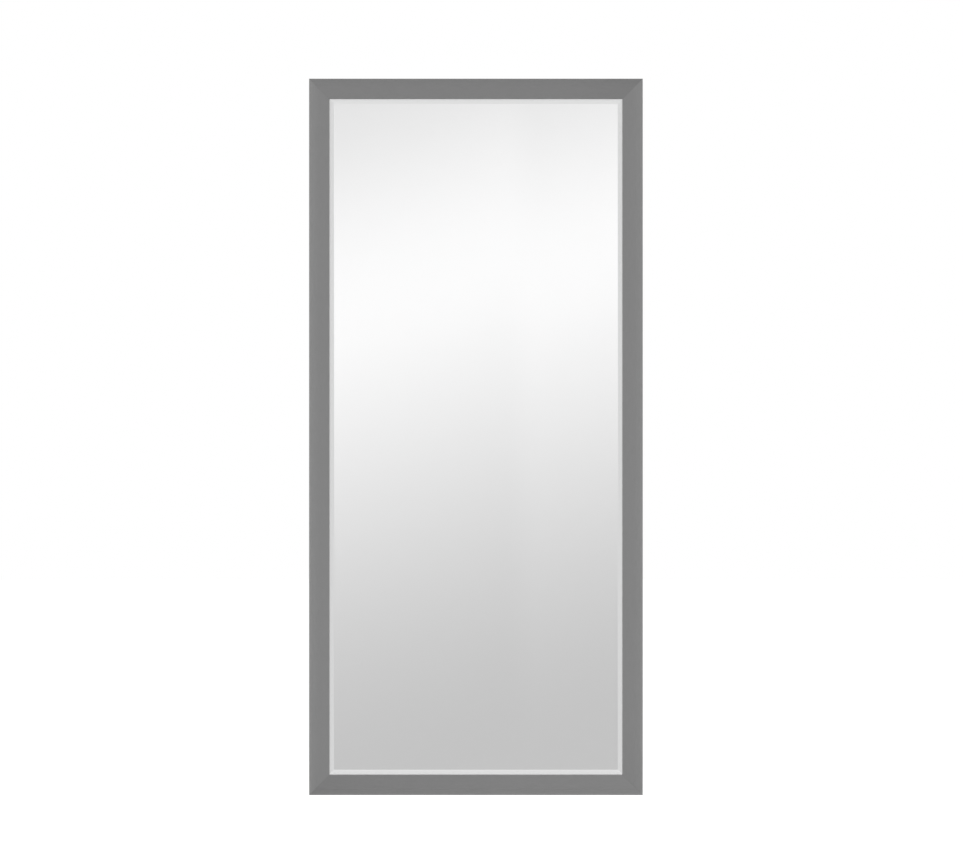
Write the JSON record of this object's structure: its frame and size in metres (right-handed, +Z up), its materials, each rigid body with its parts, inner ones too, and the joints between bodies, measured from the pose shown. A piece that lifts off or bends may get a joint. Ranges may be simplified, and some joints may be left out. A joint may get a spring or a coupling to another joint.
{
  "type": "wall mirror",
  "caption": "Full-length wall mirror: tall bevelled glass in a flat grey mitred wooden frame with a softly curved outer edge, hung from swinging rings on its back.",
  "frame": {"origin": "on the plane of the wall that the mirror hangs on, midway between the bars of the two hanging rings", "axes": "+X across the mirror, to the right for someone who looks into it; +Y into the wall, square to the glass; +Z up"},
  "size_m": [0.775, 0.0314, 1.664],
  "materials": {
    "painted_wood": "satin grey paint, bare wood at the back",
    "clear_glass": "polished, with a bevelled edge",
    "silver": "mirror silver",
    "block_rubber": "matte",
    "hardboard": "smooth brown hardboard",
    "fastener_steel": "dull steel",
    "zinc_steel": "bright zinc plate",
    "bumper_rubber": "matte"
  },
  "bodies": {
    "mirror": {"top_rail": "painted_wood", "bottom_rail": "painted_wood", "left_stile": "painted_wood", "right_stile": "painted_wood", "v_nails_top_left": "fastener_steel", "v_nails_top_right": "fastener_steel", "v_nails_bottom_left": "fastener_steel", "v_nails_bottom_right": "fastener_steel", "mirror_glass": "clear_glass", "silver_coating": "silver", "setting_blocks": "block_rubber", "backing_board": "hardboard", "framer_points_top": "fastener_steel", "framer_points_bottom": "fastener_steel", "framer_points_left": "fastener_steel", "framer_points_right": "fastener_steel", "hanger_strap_left": "zinc_steel", "hanger_strap_right": "zinc_steel", "hanger_screws_left": "zinc_steel", "hanger_screws_right": "zinc_steel", "wall_bumper_left": "bumper_rubber", "wall_bumper_right": "bumper_rubber"},
    "ring_left": {"hanger_ring_left": "zinc_steel"},
    "ring_right": {"hanger_ring_right": "zinc_steel"}
  },
  "joints": [
    {"name": "ring_left_swing", "type": "hinge", "parent": "mirror", "child": "ring_left", "pos_m": [-0.36775, -0.0031, 0], "axis": [1, 0, 0], "range_deg": [-2, 186]},
    {"name": "ring_right_swing", "type": "hinge", "parent": "mirror", "child": "ring_right", "pos_m": [0.36775, -0.0031, 0], "axis": [1, 0, 0], "range_deg": [-2, 186]}
  ]
}
